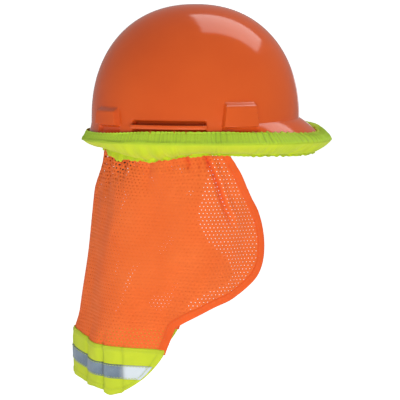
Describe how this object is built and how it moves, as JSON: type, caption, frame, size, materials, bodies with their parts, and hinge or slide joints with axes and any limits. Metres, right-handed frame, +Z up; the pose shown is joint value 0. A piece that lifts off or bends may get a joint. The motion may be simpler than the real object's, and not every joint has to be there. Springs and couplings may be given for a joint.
{
  "type": "hard hat with neck shade",
  "caption": "Cap-style hard hat with a short peak, an adjustable ratchet suspension, and a stretch-on high-visibility neck shade with a mesh drape and a reflective tail.",
  "frame": {"origin": "middle of the dome's plan, level with the brim's edge at the sides, inside the headband where the wearer's head sits", "axes": "+X towards the peak, +Y to the wearer's left, +Z up"},
  "size_m": [0.3085, 0.2388, 0.451],
  "materials": {
    "shell_plastic": "moulded gloss",
    "black_plastic": "moulded satin",
    "webbing": "woven",
    "foam": "brushed cloth over foam",
    "steel": "plain",
    "lime_fabric": "plain weave",
    "elastic": "knitted elastic",
    "mesh_fabric": "knitted mesh",
    "hem_fabric": "plain knit",
    "reflective_fabric": "retroreflective tape"
  },
  "bodies": {
    "shell": {"shell": "shell_plastic", "brim_band": "lime_fabric", "upper_elastic": "elastic", "lower_elastic": "elastic", "drape": "mesh_fabric", "right_edge_binding": "hem_fabric", "left_edge_binding": "hem_fabric", "tail_panel": "lime_fabric", "reflective_tape": "reflective_fabric"},
    "suspension": {"headband": "black_plastic", "sweatband": "foam", "front_right_key": "black_plastic", "front_left_key": "black_plastic", "rear_right_key": "black_plastic", "rear_left_key": "black_plastic", "front_right_crown_strap": "webbing", "front_left_crown_strap": "webbing", "rear_right_crown_strap": "webbing", "rear_left_crown_strap": "webbing", "crown_hub": "black_plastic", "crown_pad": "foam", "right_pivot_pin": "steel", "left_pivot_pin": "steel"},
    "nape": {"right_nape_arm": "black_plastic", "left_nape_arm": "black_plastic", "ratchet_housing": "black_plastic", "ratchet_cover": "black_plastic", "nape_pad": "foam"},
    "knob": {"ratchet_knob": "black_plastic", "pinion": "steel", "click_ring": "steel"},
    "left_rack": {"left_rack": "black_plastic"},
    "right_rack": {"right_rack": "black_plastic"}
  },
  "joints": [
    {"name": "suspension_release", "type": "slide", "parent": "shell", "child": "suspension", "axis": [0, 0, -1], "range_m": [0, 0.012]},
    {"name": "nape_swing", "type": "hinge", "parent": "suspension", "child": "nape", "pos_m": [-0.0145, 0, 0.01], "axis": [0, 1, 0], "range_deg": [-12, 10]},
    {"name": "knob_turn", "type": "hinge", "parent": "nape", "child": "knob", "pos_m": [-0.08793, 0, -0.02581], "axis": [-0.8988, 0, -0.4384], "range_deg": [-230, 230]},
    {"name": "left_rack_slide", "type": "hinge", "parent": "nape", "child": "left_rack", "pos_m": [-0.0145, 0, 0.01], "axis": [-0.4384, 0, 0.8988], "range_deg": [-15, 15]},
    {"name": "right_rack_slide", "type": "hinge", "parent": "nape", "child": "right_rack", "pos_m": [-0.0145, 0, 0.01], "axis": [-0.4384, 0, 0.8988], "range_deg": [-15, 15]}
  ],
  "couplings": [
    {"joint": "left_rack_slide", "follows": "knob_turn", "ratio": -0.06502},
    {"joint": "right_rack_slide", "follows": "knob_turn", "ratio": 0.063694}
  ]
}
